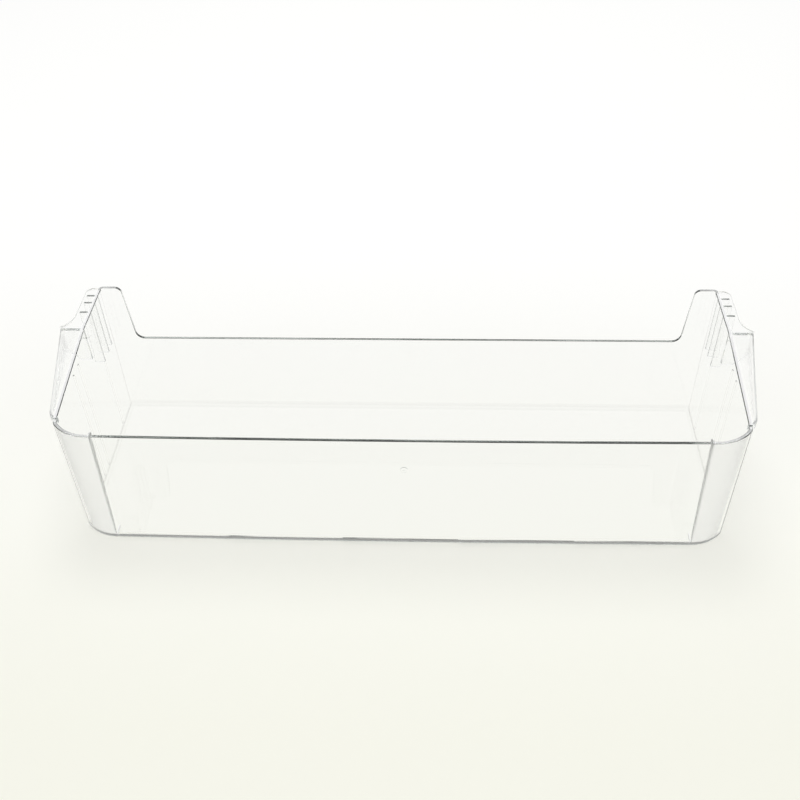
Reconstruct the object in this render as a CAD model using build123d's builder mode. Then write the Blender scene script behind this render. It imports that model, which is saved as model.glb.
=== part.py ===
"""Clear bottle shelf that hangs inside a fridge door, moulded in one piece."""

import os
from math import cos, radians, sin, sqrt, tan

from build123d import *

# Tray (millimetres and degrees)
base_width = 406.6  # across the side walls, at the underside
base_depth = 130.0  # middle of the front wall to the back wall, at the underside
draft_angle = 1.2  # outward lean of every wall
wall = 2.2
floor = 2.5
rim_height = 92.0  # top of the front wall
back_rim_height = 62.0  # low middle stretch of the back wall
front_crown = 1.0  # middle of the front wall ahead of its two ends
front_corner_width = 20.8  # round front corners, measured across
front_corner_depth = 10.8  # and front to back, to the edge where the side wall starts
corner_edge_radius = 4.0  # that edge, outside
back_fillet_radius = 1.2  # upright corners at the back, inside
under_edge_radius = 2.8  # round under the floor, outside
floor_fillet_radius = 1.6  # between floor and walls, inside
rim_round = 0.5

# Ears at the two ends of the back wall, widths measured in from the side at the top
ear_rise = 12.0  # ears and hangers above the front rim
ear_top_width = 14.7
ear_foot_width = 19.0
ear_top_radius = 4.5
ear_foot_radius = 6.0

# Ribs inside the front wall, where the round corners begin
corner_rib_width = 1.8
corner_rib_depth = 1.9  # at the rim, running out to nothing at the floor
corner_rib_lean = 1.4
corner_rib_round = 0.8

# Side wings, which climb from the front corners to a knee
wing_reach = 14.0  # past the side wall, at the knee
wing_front_reach = 4.2  # past the side wall, where the wing bends in to its tip
wing_tip_length = 9.3  # bend to the front corner's edge
wing_step = 1.2  # wing tip above the front rim
wing_plate = 2.0
wing_skirt = 1.8
wing_skirt_drop = 4.0  # skirt edge below the front rim
wing_edge_radius = 3.0

# Hangers behind the knee, rib places measured forward from the back of the shelf
hanger_length = 44.5  # back of the shelf to the knee
hanger_reach = 7.0  # past the side wall
hanger_plate = 2.0
hanger_corner_radius = 5.0
hanger_sweep_radius = 14.0
knee_plate = 2.0
knee_drop = 25.5
hanger_rib = 1.6
hanger_rib_drop = 42.5
hanger_rib_setback = 1.4  # rib edge inside the edge of the hanger plate
back_rib_place = 9.7
middle_rib_place = 17.4
front_rib_place = 27.7

# Low guide ribs down the outside of the side walls
guide_width = 1.4
guide_height = 0.8
guide_foot = 4.0
back_guide_place = 67.6
front_guide_place = 78.1

# Moulding gate in the middle of the underside
gate_diameter = 5.0
gate_depth = 0.5
gate_stub_diameter = 1.6
gate_stub_height = 0.3

# Derived places, with the origin under the middle of the whole shelf
lean = tan(radians(draft_angle))
top_height = rim_height + ear_rise
rim_growth = rim_height * lean
top_growth = top_height * lean
half_top = base_width / 2 + top_growth
back_y = (base_depth + rim_growth + top_growth) / 2
base_y = back_y - top_growth - base_depth / 2
front_y = base_y - base_depth / 2
base_back_y = base_y + base_depth / 2
corner_x = base_width / 2 - front_corner_width
corner_front_y = front_y + front_crown
corner_edge_y = corner_front_y + front_corner_depth
inner_front_y = corner_front_y + wall
knee_y = back_y - hanger_length
skirt_z = rim_height - wing_skirt_drop
wing_x = half_top + wing_reach
hanger_x = half_top + hanger_reach
hanger_back_y = back_y - wall
root_x = half_top - 0.75 * wall  # inside the side wall, where wings and hangers are rooted

# The wing tip ends in the middle of the side wall, just behind the front corner's edge
tip_x = base_width / 2 + skirt_z * lean - wall / 2
tip_y = corner_edge_y + wall
bend_y = corner_edge_y + wing_tip_length


def over_side_edges(drop):
    """Corners, in the Y-Z plane, of the space over the side edges lowered by drop."""
    front_limit = front_y - rim_growth - wall
    top_limit = top_height + wall
    return [
        (front_limit, rim_height - drop),
        (tip_y, rim_height - drop),
        (tip_y, rim_height + wing_step - drop),
        (knee_y, top_height - drop),
        (knee_y, top_limit),
        (front_limit, top_limit),
    ]


def side_corners(outline):
    """The two corners of a tray outline where the round front corners meet the sides."""
    return outline.vertices().group_by(Axis.Y)[1]


def upright_back_edges(block):
    """The two edges that climb the back corners of a drafted block."""
    return block.edges().group_by(Axis.Z)[1].group_by(Axis.Y)[-1]


def along_rib_face(edge):
    """True for the two long edges of a corner rib that face into the tray."""
    return edge.length > rim_height - floor and (edge @ 0.5).Y > inner_front_y - rim_growth


def along_rim(edge, tolerance=0.01):
    """True for an edge on top of the walls: all round inside, and outside at front and back."""
    middle = edge @ 0.5
    high = edge.bounding_box().min.Z > back_rim_height - tolerance
    inside = cavity.part.distance_to(middle) < tolerance
    at_front = abs(middle.Z - rim_height) < tolerance and middle.Y < tip_y
    at_back = abs(middle.Y - base_back_y - middle.Z * lean) < tolerance
    on_step = abs(middle.Y - tip_y) < tolerance
    return high and not on_step and (inside or at_front or at_back)


# Outline of the tray at the underside, with sharp corners
with BuildSketch() as tray_outline:
    with BuildLine():
        crown = ThreePointArc((-corner_x, corner_front_y), (0, front_y), (corner_x, corner_front_y))
        right_corner = TangentArc(crown @ 1, (base_width / 2, corner_edge_y), tangent=crown % 1)
        left_corner = TangentArc(crown @ 0, (-base_width / 2, corner_edge_y), tangent=-(crown % 0))
        Polyline(
            right_corner @ 1,
            (base_width / 2, base_back_y),
            (-base_width / 2, base_back_y),
            left_corner @ 1,
        )
    make_face()

# Space inside the tray
inset = wall - floor * lean
with BuildPart() as cavity:
    floor_level = Plane.XY.offset(floor)
    with BuildSketch(floor_level) as cavity_outline:
        add(tray_outline.sketch)
        offset(amount=-inset, kind=Kind.INTERSECTION)
        fillet(side_corners(cavity_outline), corner_edge_radius - wall)
    extrude(amount=2 * top_height)
    draft(cavity.faces().filter_by(Axis.Z, reverse=True), floor_level, -draft_angle)
    fillet(upright_back_edges(cavity), back_fillet_radius)
    fillet(cavity.faces().sort_by(Axis.Z)[0].edges(), floor_fillet_radius)

# Space under the right wing, between its skirt, the side wall and the knee plate
with BuildPart() as wing_hollow:
    with BuildSketch(Plane.XY.offset(skirt_z)) as hollow_outline:
        with BuildLine():
            skirt_inside = Line(
                (wing_x - wing_skirt, knee_y - knee_plate),
                (half_top + wing_front_reach - wing_skirt, bend_y),
            )
            tip_inside = TangentArc(
                skirt_inside @ 1,
                (tip_x - wing_skirt, tip_y + wing_skirt),
                tangent=skirt_inside % 1,
            )
            Polyline(
                tip_inside @ 1,
                (corner_x, tip_y + wing_skirt),
                (corner_x, knee_y - knee_plate),
                skirt_inside @ 0,
            )
        make_face()
    extrude(amount=top_height - skirt_z)
    with BuildSketch(Plane.YZ) as hollow_trim:
        Polygon(*over_side_edges(wing_plate), align=None)
    extrude(amount=base_width, mode=Mode.SUBTRACT)

# Right wing: a ramped cap with a rounded edge
with BuildPart() as wing:
    with BuildSketch(Plane.XY.offset(skirt_z)) as wing_outline:
        with BuildLine():
            skirt = Line((wing_x, knee_y), (half_top + wing_front_reach, bend_y))
            tip = TangentArc(skirt @ 1, (tip_x, tip_y), tangent=skirt % 1)
            Polyline(tip @ 1, (root_x, tip_y), (root_x, knee_y), skirt @ 0)
        make_face()
    extrude(amount=top_height - skirt_z)
    with BuildSketch(Plane.YZ) as wing_trim:
        Polygon(*over_side_edges(0), align=None)
    extrude(amount=base_width, mode=Mode.SUBTRACT)
    ramp_edges = wing.faces().sort_by(Axis.Z)[-1].edges()
    outer_edges = ramp_edges.sort_by(Axis.Y)[:-1].sort_by(Axis.X)[-2:]  # skirt and tip, not the knee
    fillet(outer_edges, min(wing_edge_radius, wing_skirt_drop))
    add(wing_hollow.part, mode=Mode.SUBTRACT)

# Right hanger: flat plate, closing plate at the knee and three ribs below
with BuildPart() as hanger:
    with BuildSketch(Plane.XY.offset(top_height - hanger_plate)) as plate_outline:
        with BuildLine():
            flare = wing_reach - hanger_reach
            sweep_length = sqrt(flare * (2 * hanger_sweep_radius - flare))
            side = Line(
                (hanger_x, hanger_back_y - hanger_corner_radius), (hanger_x, knee_y + sweep_length)
            )
            sweep = TangentArc(side @ 1, (wing_x, knee_y), tangent=side % 1)
            Polyline(sweep @ 1, (root_x, knee_y), (root_x, hanger_back_y))
            back = Line((root_x, hanger_back_y), (hanger_x - hanger_corner_radius, hanger_back_y))
            TangentArc(back @ 1, side @ 0, tangent=back % 1)
        make_face()
    extrude(amount=hanger_plate)
    with BuildSketch(Plane.XZ.offset(-knee_y)) as knee_outline:
        Polygon(
            (root_x, top_height - hanger_plate),
            (wing_x - wing_edge_radius, top_height - hanger_plate),
            (wing_x, skirt_z),
            (hanger_x, top_height - knee_drop),
            (root_x, top_height - knee_drop),
            align=None,
        )
    extrude(amount=knee_plate)
    rib_x = hanger_x - hanger_rib_setback
    for rib_place in (back_rib_place, middle_rib_place, front_rib_place):
        with BuildSketch(Plane.XZ.offset(rib_place - back_y)) as rib_outline:
            Polygon(
                (root_x, top_height - hanger_plate),
                (rib_x, top_height - hanger_plate),
                (rib_x, top_height - hanger_rib_drop),
                (root_x, top_height - hanger_rib_drop),
                align=None,
            )
        extrude(amount=hanger_rib / 2, both=True)

# Low guide ribs on the outer face of the right side wall
slope = radians(draft_angle)
side_face = Plane(
    origin=(base_width / 2, 0, 0), x_dir=(0, 1, 0), z_dir=(cos(slope), 0, -sin(slope))
)
guide_tops = {
    front_rib_place: top_height - hanger_rib_drop,
    back_guide_place: rim_height,
    front_guide_place: rim_height,
}
with BuildPart() as guides:
    for guide_place, guide_top in guide_tops.items():
        with BuildSketch(side_face.offset(-wall / 2)) as guide_outline:
            with Locations((back_y - guide_place, (guide_foot + guide_top) / 2)):
                Rectangle(guide_width, guide_top - guide_foot)
        extrude(amount=wall / 2 + guide_height)

# Right rib inside the front wall, deeper towards the rim
rib_slope = radians(corner_rib_lean)
rib_plane = Plane(
    origin=(corner_x, 0, 0), x_dir=(0, 1, 0), z_dir=(cos(rib_slope), 0, sin(rib_slope))
)
with BuildPart() as corner_rib:
    with BuildSketch(rib_plane) as rib_profile:
        Polygon(
            (inner_front_y - floor * lean - wall / 2, floor),
            (inner_front_y - floor * lean, floor),
            (inner_front_y - top_growth + corner_rib_depth * top_height / rim_height, top_height),
            (inner_front_y - top_growth - wall / 2, top_height),
            align=None,
        )
    extrude(amount=corner_rib_width / 2, both=True)
    fillet(corner_rib.edges().filter_by(along_rib_face), corner_rib_round)
    split(bisect_by=Plane.XY.offset(rim_height), keep=Keep.BOTTOM)

# The whole shelf
with BuildPart() as shelf:
    with BuildSketch() as base_outline:
        add(tray_outline.sketch)
        fillet(side_corners(base_outline), corner_edge_radius)
    extrude(amount=top_height)
    draft(shelf.faces().filter_by(Axis.Z, reverse=True), Plane.XY, -draft_angle)
    fillet(upright_back_edges(shelf), back_fillet_radius + wall)
    fillet(shelf.faces().sort_by(Axis.Z)[0].edges(), under_edge_radius)
    with BuildSketch(Plane.YZ) as side_trim:
        Polygon(*over_side_edges(0), align=None)
    extrude(amount=base_width, both=True, mode=Mode.SUBTRACT)

    # Everything outside the walls, then the hollow
    for feature in (wing.part, hanger.part, guides.part):
        add(feature)
        add(mirror(feature, about=Plane.YZ, mode=Mode.PRIVATE))
    add(cavity.part, mode=Mode.SUBTRACT)

    # Low back wall between the ears
    ear_foot_x = half_top - ear_foot_width
    ear_top_x = half_top - ear_top_width
    with BuildSketch(Plane.XZ) as back_gap:
        with BuildLine():
            Polyline(
                (0, back_rim_height),
                (ear_foot_x, back_rim_height),
                (ear_top_x, top_height),
                (half_top, top_height),
                (half_top, top_height + wall),
                (0, top_height + wall),
                close=True,
            )
        make_face()
        fillet(back_gap.vertices().sort_by_distance((ear_foot_x, back_rim_height))[0], ear_foot_radius)
        fillet(back_gap.vertices().sort_by_distance((ear_top_x, top_height))[0], ear_top_radius)
        mirror(about=Plane.YZ)
    extrude(amount=-base_depth, mode=Mode.SUBTRACT)
    fillet(shelf.edges().filter_by(along_rim), rim_round)

    # Ribs inside the front wall
    add(corner_rib.part)
    add(mirror(corner_rib.part, about=Plane.YZ, mode=Mode.PRIVATE))

    # Sunk gate mark with its broken-off stub
    hang_down = (Align.CENTER, Align.CENTER, Align.MAX)
    with Locations((0, base_y, gate_depth)):
        Cylinder(gate_diameter / 2, gate_depth, align=hang_down, mode=Mode.SUBTRACT)
        Cylinder(gate_stub_diameter / 2, gate_stub_height, align=hang_down)

shelf.part.label = "bottle_shelf"
os.makedirs("parts", exist_ok=True)
export_step(shelf.part, "parts/bottle_shelf.step")
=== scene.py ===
"""Gives the bottle shelf its clear plastic and sets it on a pale studio floor."""

from math import cos, radians, sin

import bpy
from mathutils import Matrix, Vector


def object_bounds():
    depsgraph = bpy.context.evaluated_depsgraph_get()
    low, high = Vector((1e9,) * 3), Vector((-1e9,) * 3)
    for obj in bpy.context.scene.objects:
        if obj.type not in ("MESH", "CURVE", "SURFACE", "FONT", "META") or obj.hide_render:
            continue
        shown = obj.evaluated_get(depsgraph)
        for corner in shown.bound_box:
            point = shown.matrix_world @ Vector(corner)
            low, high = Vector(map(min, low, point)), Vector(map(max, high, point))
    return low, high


bl_info = {
    "name": "Fridge bottle shelf",
    "version": (1, 0, 0),
    "blender": (4, 5, 0),
    "location": "View3D > Sidebar > Shelf",
    "description": "Finishes a clear plastic bottle shelf and sets up its studio",
    "category": "Object",
}

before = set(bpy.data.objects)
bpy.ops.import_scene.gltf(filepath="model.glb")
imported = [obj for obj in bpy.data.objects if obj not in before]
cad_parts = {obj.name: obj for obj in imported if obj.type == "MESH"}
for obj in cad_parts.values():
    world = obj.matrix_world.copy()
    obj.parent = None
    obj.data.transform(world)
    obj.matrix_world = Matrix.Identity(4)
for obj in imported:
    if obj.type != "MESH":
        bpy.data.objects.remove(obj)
cad_low, cad_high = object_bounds()
SHELF_NODE = "bottle_shelf"
CORNER_X = 0.1825
CORNER_Y = -0.0387
CORNER_LEAN = 0.0244
CORNER_EDGE_Y = -0.0533
TEXTURE_EDGE_Y = -0.0582
WALL_X = 0.2033
WALL_LEAN = 0.02095
GUIDE_HEIGHT = 0.001
FROST_EDGE = 0.0002
RIM_Z = 0.0915
EAR_Y = 0.0625
KNEE_Y = 0.0203
RIB_FOOT = 0.0003
RIB_GROWTH = 0.007
FOOT_LOW = 0.0018
FOOT_HIGH = 0.0045
FLAT = 0.97
FORWARD = 0.3
UPWARD = 0.5
FLOOR_GAP = 0.0002


class PlasticSettings(bpy.types.PropertyGroup):
    """Finish of the clear plastic."""

    tint: bpy.props.FloatVectorProperty(
        name="Tint",
        description="Colour that light keeps on a long way through the plastic",
        subtype="COLOR",
        size=3,
        min=0.0,
        max=1.0,
        default=(0.79, 0.815, 0.81),
    )
    absorption: bpy.props.FloatProperty(
        name="Absorption",
        description="How strongly the plastic takes up light, per metre",
        min=0.0,
        default=38.0,
    )
    ior: bpy.props.FloatProperty(
        name="Refractive index",
        description="Refractive index of clear polystyrene",
        min=1.0,
        max=2.5,
        default=1.57,
    )
    gloss_low: bpy.props.FloatProperty(
        name="Polished roughness",
        description="Roughness where the mould polish is untouched",
        subtype="FACTOR",
        min=0.0,
        max=1.0,
        default=0.01,
    )
    gloss_high: bpy.props.FloatProperty(
        name="Handled roughness",
        description="Roughness where handling has dulled the polish",
        subtype="FACTOR",
        min=0.0,
        max=1.0,
        default=0.05,
    )
    end_frost: bpy.props.FloatProperty(
        name="Frost of the ends",
        description="Roughness of the fine matt texture outside the end walls",
        subtype="FACTOR",
        min=0.0,
        max=1.0,
        default=0.05,
    )
    corner_frost: bpy.props.FloatProperty(
        name="Frost of the corners",
        description="Roughness of the fine matt texture outside the round front corners",
        subtype="FACTOR",
        min=0.0,
        max=1.0,
        default=0.3,
    )
    wing_frost: bpy.props.FloatProperty(
        name="Frost of the wings",
        description="Roughness of the fine matt texture outside the wings",
        subtype="FACTOR",
        min=0.0,
        max=1.0,
        default=0.3,
    )
    foot_frost: bpy.props.FloatProperty(
        name="Frost of the foot",
        description="Roughness of the worn foot of the front wall",
        subtype="FACTOR",
        min=0.0,
        max=1.0,
        default=0.3,
    )
    corner_film: bpy.props.FloatProperty(
        name="Film of the corners",
        description="Share of the light that the matt texture on the front corners and ears scatters",
        subtype="FACTOR",
        min=0.0,
        max=1.0,
        default=0.45,
    )
    rib_film: bpy.props.FloatProperty(
        name="Film of the ribs",
        description="Share of the light that the matt ribs beside the front corners scatter",
        subtype="FACTOR",
        min=0.0,
        max=1.0,
        default=0.8,
    )
    wing_film: bpy.props.FloatProperty(
        name="Film of the wings",
        description="Share of the light that the matt texture outside the wings scatters",
        subtype="FACTOR",
        min=0.0,
        max=1.0,
        default=0.05,
    )
    rim_film: bpy.props.FloatProperty(
        name="Film of the rims",
        description="Share of the light that the matt top of the end walls scatters",
        subtype="FACTOR",
        min=0.0,
        max=1.0,
        default=0.8,
    )
    foot_film: bpy.props.FloatProperty(
        name="Film of the foot",
        description="Share of the light that the worn foot of the front wall scatters",
        subtype="FACTOR",
        min=0.0,
        max=1.0,
        default=0.35,
    )
    wave_length: bpy.props.FloatProperty(
        name="Wave length",
        description="Length of the soft waves that moulding leaves in the faces",
        unit="LENGTH",
        min=0.001,
        default=0.045,
    )
    wave_depth: bpy.props.FloatProperty(
        name="Wave depth",
        description="Depth of the soft waves that moulding leaves in the faces",
        unit="LENGTH",
        min=0.0,
        default=0.00004,
    )


class StageSettings(bpy.types.PropertyGroup):
    """Floor, light and camera."""

    floor_radius: bpy.props.FloatProperty(
        name="Floor radius",
        description="Radius of the round studio floor",
        unit="LENGTH",
        min=0.5,
        default=4.0,
    )
    floor_back: bpy.props.FloatVectorProperty(
        name="Floor at the back",
        description="Colour of the studio floor behind the shelf",
        subtype="COLOR",
        size=3,
        min=0.0,
        max=1.0,
        default=(1.0, 1.0, 0.99),
    )
    # Painted shade: this darker ivory in front of the shelf stands in for the light from behind falling off
    # towards the front.
    painted_front_shade: bpy.props.FloatVectorProperty(
        name="Floor in front",
        description="Colour of the studio floor in front of the shelf",
        subtype="COLOR",
        size=3,
        min=0.0,
        max=1.0,
        default=(0.93, 0.93, 0.84),
    )
    # Painted shade: the floor fades from white at the back to the darker ivory in front over this span.
    painted_shade_end_y: bpy.props.FloatProperty(
        name="Back of the fade",
        description="Where the floor is white",
        unit="LENGTH",
        default=0.25,
    )
    painted_shade_full_y: bpy.props.FloatProperty(
        name="Front of the fade",
        description="Where the floor is ivory",
        unit="LENGTH",
        default=-0.2,
    )
    floor_share: bpy.props.FloatProperty(
        name="Floor share",
        description="Share of the floor's look that shade doesn't reach",
        subtype="FACTOR",
        min=0.0,
        max=1.0,
        default=0.5,
    )
    floor_share_through: bpy.props.FloatProperty(
        name="Floor share through plastic",
        description="The same share where the floor is seen through the shelf or mirrored in it",
        subtype="FACTOR",
        min=0.0,
        max=1.0,
        default=1.0,
    )
    room_front_y: bpy.props.FloatProperty(
        name="Dark side",
        description="Direction along Y where the room is darkest, as a part of 1",
        default=-0.7,
    )
    room_back_y: bpy.props.FloatProperty(
        name="White side",
        description="Direction along Y where the room turns white, as a part of 1",
        default=0.0,
    )
    room_front_level: bpy.props.FloatProperty(
        name="Dark side level",
        description="How bright the dark side of the room looks in the plastic",
        subtype="FACTOR",
        min=0.0,
        max=1.0,
        default=0.2,
    )
    room_color: bpy.props.FloatVectorProperty(
        name="Room",
        description="Colour of the light that comes from all round",
        subtype="COLOR",
        size=3,
        min=0.0,
        max=1.0,
        default=(0.78, 0.78, 0.78),
    )
    lamp_power: bpy.props.FloatProperty(
        name="Lamp power",
        description="Power of the soft lamp above the back of the shelf",
        unit="POWER",
        min=0.0,
        default=7.0,
    )
    lamp_size: bpy.props.FloatProperty(
        name="Lamp size",
        description="Side of the square soft lamp",
        unit="LENGTH",
        min=0.05,
        default=0.7,
    )
    lamp_place: bpy.props.FloatVectorProperty(
        name="Lamp place",
        description="Middle of the soft lamp",
        subtype="XYZ",
        unit="LENGTH",
        size=3,
        default=(-0.05, 0.5, 1.6),
    )
    camera_place: bpy.props.FloatVectorProperty(
        name="Camera place",
        description="Where the camera stands",
        subtype="XYZ",
        unit="LENGTH",
        size=3,
        default=(0.0266, -0.4978, 0.5114),
    )
    camera_yaw: bpy.props.FloatProperty(
        name="Camera yaw",
        description="Turn to the right, seen from above",
        subtype="ANGLE",
        default=radians(-3.217),
    )
    camera_pitch: bpy.props.FloatProperty(
        name="Camera pitch",
        description="Tilt below the horizon",
        subtype="ANGLE",
        default=radians(41.897),
    )
    camera_roll: bpy.props.FloatProperty(
        name="Camera roll",
        description="Roll about the line of sight",
        subtype="ANGLE",
        default=radians(-1.608),
    )
    camera_lens: bpy.props.FloatProperty(
        name="Lens",
        description="Focal length on a 36 mm sensor",
        unit="CAMERA",
        min=1.0,
        default=47.03,
    )


def empty_tree(owner):
    """The node tree of a material or world, with nothing in it."""
    owner.use_nodes = True
    owner.node_tree.nodes.clear()
    return owner.node_tree


def add_node(tree, kind, **inputs):
    """A new node with its named inputs set."""
    node = tree.nodes.new(kind)
    for name, value in inputs.items():
        node.inputs[name.replace("_", " ")].default_value = value
    return node


def bent_ray(tree, path):
    """A socket that is 1 for rays that the plastic mirrors or bends, and 0 for the others."""
    return math_node(tree, "MAXIMUM", path.outputs["Is Glossy Ray"], path.outputs["Is Transmission Ray"])


def math_node(tree, operation, first, second=None):
    """The result of a Math node on two sockets or numbers."""
    node = tree.nodes.new("ShaderNodeMath")
    node.operation = operation
    for socket, value in zip(node.inputs, (first, second)):
        if isinstance(value, bpy.types.NodeSocket):
            tree.links.new(value, socket)
        elif value is not None:
            socket.default_value = value
    return node.outputs[0]


def weighted_sum(tree, pairs):
    """The sum of sockets times their weights."""
    total = 0.0
    for socket, weight in pairs:
        total = math_node(tree, "ADD", total, math_node(tree, "MULTIPLY", socket, weight))
    return total


def every(tree, *sockets):
    """1 where all sockets are 1, else 0."""
    result = 1.0
    for socket in sockets:
        result = math_node(tree, "MULTIPLY", result, socket)
    return result


def matt_zones(tree, place):
    """Sockets that are 1 outside ends, corners and wings, and on ribs, end rims, other rims and the foot."""
    geometry = tree.nodes.new("ShaderNodeNewGeometry")
    at = tree.nodes.new("ShaderNodeSeparateXYZ")
    normal = tree.nodes.new("ShaderNodeSeparateXYZ")
    tree.links.new(place, at.inputs[0])
    tree.links.new(geometry.outputs["True Normal"], normal.inputs[0])
    x, y, z = at.outputs
    across = math_node(tree, "ABSOLUTE", x)
    upright = math_node(tree, "ABSOLUTE", normal.outputs["Z"])
    seam = math_node(tree, "SUBTRACT", CORNER_X, math_node(tree, "MULTIPLY", z, CORNER_LEAN))
    past_seam = math_node(tree, "SUBTRACT", across, seam)
    past_front = math_node(tree, "MINIMUM", math_node(tree, "SUBTRACT", y, CORNER_Y), 0.0)
    wall = math_node(tree, "ADD", WALL_X, math_node(tree, "MULTIPLY", z, WALL_LEAN))
    past_wall = math_node(tree, "SUBTRACT", across, wall)
    end = math_node(tree, "GREATER_THAN", past_seam, 0.0)

    out_x = math_node(tree, "MULTIPLY", normal.outputs["X"], math_node(tree, "SIGN", x))
    out_x = math_node(tree, "MULTIPLY", out_x, past_seam)
    out_y = math_node(tree, "MULTIPLY", normal.outputs["Y"], past_front)
    facing = math_node(tree, "SUBTRACT", 1.0, math_node(tree, "MULTIPLY", geometry.outputs["Backfacing"], 2.0))
    outward = math_node(tree, "MULTIPLY", math_node(tree, "ADD", out_x, out_y), facing)
    outside = every(tree, end, math_node(tree, "GREATER_THAN", outward, FROST_EDGE))
    corner = math_node(tree, "LESS_THAN", y, CORNER_EDGE_Y)
    above_foot = math_node(tree, "GREATER_THAN", z, FOOT_HIGH)
    below_rim = math_node(tree, "LESS_THAN", z, RIM_Z)
    front_texture = math_node(tree, "LESS_THAN", y, TEXTURE_EDGE_Y)
    corners = every(tree, outside, front_texture, above_foot, below_rim)
    above = math_node(tree, "MULTIPLY", normal.outputs["Z"], facing)
    wing_top = every(
        tree,
        math_node(tree, "GREATER_THAN", above, UPWARD),
        math_node(tree, "LESS_THAN", y, KNEE_Y),
    )
    wings = every(
        tree, end,
        math_node(tree, "GREATER_THAN", past_wall, GUIDE_HEIGHT),
        math_node(tree, "MAXIMUM", outside, wing_top),
    )
    ends = math_node(tree, "SUBTRACT", outside, math_node(tree, "MAXIMUM", corners, wings))
    ahead = math_node(tree, "LESS_THAN", math_node(tree, "MULTIPLY", normal.outputs["Y"], facing), -FORWARD)
    rib_half = math_node(tree, "ADD", RIB_FOOT, math_node(tree, "MULTIPLY", z, RIB_GROWTH))
    ribs = every(
        tree, corner,
        math_node(tree, "LESS_THAN", math_node(tree, "ABSOLUTE", past_seam), rib_half),
        math_node(tree, "SUBTRACT", 1.0, ahead),
        below_rim,
    )

    tops = every(
        tree, end,
        math_node(tree, "SUBTRACT", 1.0, below_rim),
        math_node(tree, "GREATER_THAN", upright, FLAT),
        math_node(tree, "LESS_THAN", past_wall, 0.0),
    )
    ear = math_node(tree, "GREATER_THAN", y, EAR_Y)
    other_rims = every(tree, tops, math_node(tree, "MAXIMUM", corner, ear))
    end_rims = math_node(tree, "SUBTRACT", tops, other_rims)
    foot = every(
        tree,
        math_node(tree, "GREATER_THAN", z, FOOT_LOW),
        math_node(tree, "SUBTRACT", 1.0, above_foot),
        math_node(tree, "LESS_THAN", y, CORNER_Y),
        ahead,
    )
    return ends, corners, wings, ribs, end_rims, other_rims, foot


def clear_plastic(settings):
    """Clear moulded plastic: soft waves in its faces, a little handling in its polish, grey-green in depth."""
    material = bpy.data.materials.new("clear_plastic")
    tree = empty_tree(material)
    links = tree.links
    place = tree.nodes.new("ShaderNodeTexCoord")

    handling = add_node(tree, "ShaderNodeTexNoise", Scale=38.0, Detail=6.0, Roughness=0.62)
    dulled = add_node(
        tree, "ShaderNodeMapRange", From_Min=0.45, From_Max=0.8,
        To_Min=settings.gloss_low, To_Max=settings.gloss_high,
    )
    waves = add_node(tree, "ShaderNodeTexNoise", Scale=1 / settings.wave_length, Detail=1.0)
    bump = add_node(tree, "ShaderNodeBump", Strength=1.0, Distance=settings.wave_depth)
    surface = add_node(tree, "ShaderNodeBsdfPrincipled", Base_Color=(1, 1, 1, 1), IOR=settings.ior)
    depth = add_node(
        tree, "ShaderNodeVolumeAbsorption", Color=(*settings.tint, 1), Density=settings.absorption,
    )
    out = tree.nodes.new("ShaderNodeOutputMaterial")
    links.new(place.outputs["Object"], handling.inputs["Vector"])
    links.new(place.outputs["Object"], waves.inputs["Vector"])
    links.new(handling.outputs["Fac"], dulled.inputs["Value"])
    ends, corners, wings, ribs, end_rims, other_rims, foot = matt_zones(tree, place.outputs["Object"])
    frost = weighted_sum(tree, (
        (ends, settings.end_frost), (corners, settings.corner_frost),
        (wings, settings.wing_frost), (foot, settings.foot_frost),
    ))
    film = weighted_sum(tree, (
        (corners, settings.corner_film), (wings, settings.wing_film), (ribs, settings.rib_film),
        (end_rims, settings.rim_film), (other_rims, settings.corner_film), (foot, settings.foot_film),
    ))
    links.new(math_node(tree, "MAXIMUM", dulled.outputs["Result"], frost), surface.inputs["Roughness"])
    links.new(math_node(tree, "SUBTRACT", 1.0, film), surface.inputs["Transmission Weight"])
    links.new(waves.outputs["Fac"], bump.inputs["Height"])
    links.new(bump.outputs["Normal"], surface.inputs["Normal"])
    links.new(surface.outputs["BSDF"], out.inputs["Surface"])
    links.new(depth.outputs["Volume"], out.inputs["Volume"])
    return material


def floor_paint(settings):
    """Matt paint that shows its own colour beside the light on it: white at the back, with painted shade that
    turns it darker and ivory in front, where the light from behind falls off.
    """
    material = bpy.data.materials.new("studio_floor")
    tree = empty_tree(material)
    place = tree.nodes.new("ShaderNodeTexCoord")
    at = tree.nodes.new("ShaderNodeSeparateXYZ")
    tree.links.new(place.outputs["Object"], at.inputs[0])
    backward = add_node(
        tree, "ShaderNodeMapRange", From_Min=settings.painted_shade_full_y, From_Max=settings.painted_shade_end_y,
    )
    tree.links.new(at.outputs["Y"], backward.inputs["Value"])
    # Painted shade: the floor colour darkens from white at the back to ivory in front, standing in for light
    # that falls off towards the front. It feeds both the lit paint and the shown colour.
    color = tree.nodes.new("ShaderNodeMix")
    color.data_type = "RGBA"
    color.inputs["A"].default_value = (*settings.painted_front_shade, 1)
    color.inputs["B"].default_value = (*settings.floor_back, 1)
    tree.links.new(backward.outputs["Result"], color.inputs["Factor"])
    paint = tree.nodes.new("ShaderNodeBsdfDiffuse")
    shown = tree.nodes.new("ShaderNodeEmission")
    mix = tree.nodes.new("ShaderNodeMixShader")
    out = tree.nodes.new("ShaderNodeOutputMaterial")
    path = tree.nodes.new("ShaderNodeLightPath")
    direct = math_node(tree, "MULTIPLY", path.outputs["Is Camera Ray"], settings.floor_share)
    through = math_node(tree, "MULTIPLY", bent_ray(tree, path), settings.floor_share_through)
    tree.links.new(math_node(tree, "MAXIMUM", direct, through), mix.inputs["Fac"])
    tree.links.new(color.outputs["Result"], paint.inputs["Color"])
    tree.links.new(color.outputs["Result"], shown.inputs["Color"])
    tree.links.new(paint.outputs["BSDF"], mix.inputs[1])
    tree.links.new(shown.outputs["Emission"], mix.inputs[2])
    tree.links.new(mix.outputs["Shader"], out.inputs["Surface"])
    return material


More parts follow.
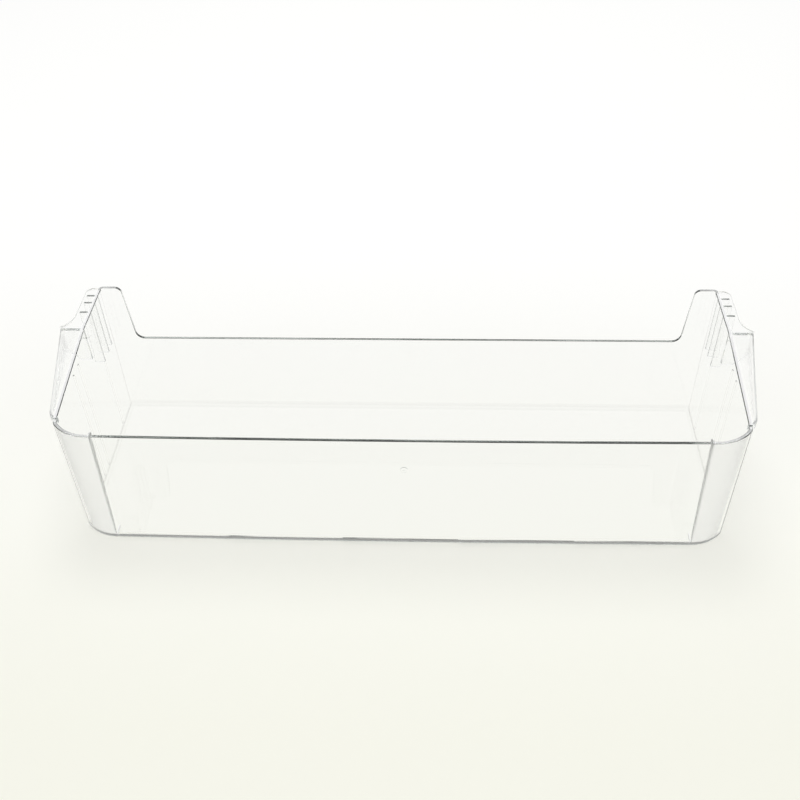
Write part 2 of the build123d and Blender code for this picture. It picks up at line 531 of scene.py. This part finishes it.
def add_floor(settings):
    """A round floor under the shelf."""
    bpy.ops.mesh.primitive_circle_add(
        vertices=96, radius=settings.floor_radius, fill_type="NGON", location=(0, 0, cad_low.z - FLOOR_GAP)
    )
    floor = bpy.context.object
    floor.name = "studio_floor"
    floor.data.materials.append(floor_paint(settings))


def add_room(settings):
    """Even light from all round, in a room that the plastic shows white at the back and darker in front."""
    world = bpy.data.worlds.new("studio_room")
    bpy.context.scene.world = world
    tree = empty_tree(world)
    path = tree.nodes.new("ShaderNodeLightPath")
    toward = tree.nodes.new("ShaderNodeTexCoord")
    at = tree.nodes.new("ShaderNodeSeparateXYZ")
    tree.links.new(toward.outputs["Generated"], at.inputs[0])
    backward = add_node(
        tree, "ShaderNodeMapRange", From_Min=settings.room_front_y, From_Max=settings.room_back_y,
        To_Min=settings.room_front_level, To_Max=1.0,
    )
    tree.links.new(at.outputs["Y"], backward.inputs["Value"])
    light = add_node(tree, "ShaderNodeBackground", Color=(*settings.room_color, 1), Strength=1.0)
    mirrored = add_node(tree, "ShaderNodeBackground", Color=(1, 1, 1, 1))
    sight = add_node(tree, "ShaderNodeBackground", Color=(1, 1, 1, 1), Strength=1.0)
    bent = tree.nodes.new("ShaderNodeMixShader")
    seen = tree.nodes.new("ShaderNodeMixShader")
    out = tree.nodes.new("ShaderNodeOutputWorld")
    tree.links.new(backward.outputs["Result"], mirrored.inputs["Strength"])
    tree.links.new(bent_ray(tree, path), bent.inputs["Fac"])
    tree.links.new(light.outputs["Background"], bent.inputs[1])
    tree.links.new(mirrored.outputs["Background"], bent.inputs[2])
    tree.links.new(path.outputs["Is Camera Ray"], seen.inputs["Fac"])
    tree.links.new(bent.outputs["Shader"], seen.inputs[1])
    tree.links.new(sight.outputs["Background"], seen.inputs[2])
    tree.links.new(seen.outputs["Shader"], out.inputs["Surface"])


def add_lamp(settings):
    """One large soft lamp above the back of the shelf."""
    data = bpy.data.lights.new("soft_lamp", "AREA")
    data.energy = settings.lamp_power
    data.size = settings.lamp_size
    lamp = bpy.data.objects.new("soft_lamp", data)
    bpy.context.scene.collection.objects.link(lamp)
    lamp.location = settings.lamp_place
    lamp.visible_glossy = False
    lamp.visible_transmission = False
    middle = (cad_low + cad_high) / 2
    lamp.rotation_euler = (middle - lamp.location).to_track_quat("-Z", "Y").to_euler()


def add_camera(settings):
    """The camera, from its place, yaw, pitch and roll."""
    yaw, pitch, roll = settings.camera_yaw, settings.camera_pitch, settings.camera_roll
    ahead = Vector((sin(yaw) * cos(pitch), cos(yaw) * cos(pitch), -sin(pitch)))
    level = Vector((cos(yaw), -sin(yaw), 0))
    upright = level.cross(ahead)
    right = cos(roll) * level + sin(roll) * upright
    up = cos(roll) * upright - sin(roll) * level
    data = bpy.data.cameras.new("camera")
    data.lens = settings.camera_lens
    camera = bpy.data.objects.new("camera", data)
    bpy.context.scene.collection.objects.link(camera)
    turn = Matrix((right, up, -ahead)).transposed()
    camera.matrix_world = Matrix.Translation(settings.camera_place) @ turn.to_4x4()
    bpy.context.scene.camera = camera


class SHELF_OT_finish(bpy.types.Operator):
    """Give the shelf its clear plastic"""

    bl_idname = "shelf.finish"
    bl_label = "Clear plastic shelf"

    def execute(self, context):
        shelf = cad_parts[SHELF_NODE]
        shelf.data.materials[0] = clear_plastic(context.scene.shelf_plastic)
        return {"FINISHED"}


class SHELF_OT_stage(bpy.types.Operator):
    """Set up the floor, the light and the camera"""

    bl_idname = "shelf.stage"
    bl_label = "Studio"

    def execute(self, context):
        settings = context.scene.shelf_stage
        add_floor(settings)
        add_room(settings)
        add_lamp(settings)
        add_camera(settings)
        context.scene.view_settings.view_transform = "Standard"
        context.scene.cycles.blur_glossy = 0.0
        context.scene.cycles.max_bounces = 32
        context.scene.cycles.glossy_bounces = 24
        context.scene.cycles.transmission_bounces = 24
        return {"FINISHED"}


class VIEW3D_PT_shelf(bpy.types.Panel):
    """Lists the steps that finish the shelf."""

    bl_label = "Bottle shelf"
    bl_space_type = "VIEW_3D"
    bl_region_type = "UI"
    bl_category = "Shelf"

    def draw(self, context):
        for step, settings in (
            (SHELF_OT_finish, context.scene.shelf_plastic),
            (SHELF_OT_stage, context.scene.shelf_stage),
        ):
            box = self.layout.box()
            box.operator(step.bl_idname)
            for name in settings.__annotations__:
                box.prop(settings, name)


CLASSES = (PlasticSettings, StageSettings, SHELF_OT_finish, SHELF_OT_stage, VIEW3D_PT_shelf)


def register():
    for cls in CLASSES:
        bpy.utils.register_class(cls)
    bpy.types.Scene.shelf_plastic = bpy.props.PointerProperty(type=PlasticSettings)
    bpy.types.Scene.shelf_stage = bpy.props.PointerProperty(type=StageSettings)


def unregister():
    del bpy.types.Scene.shelf_stage
    del bpy.types.Scene.shelf_plastic
    for cls in reversed(CLASSES):
        bpy.utils.unregister_class(cls)


def main():
    register()
    bpy.ops.shelf.finish()
    bpy.ops.shelf.stage()


if __name__ == "__main__":
    main()
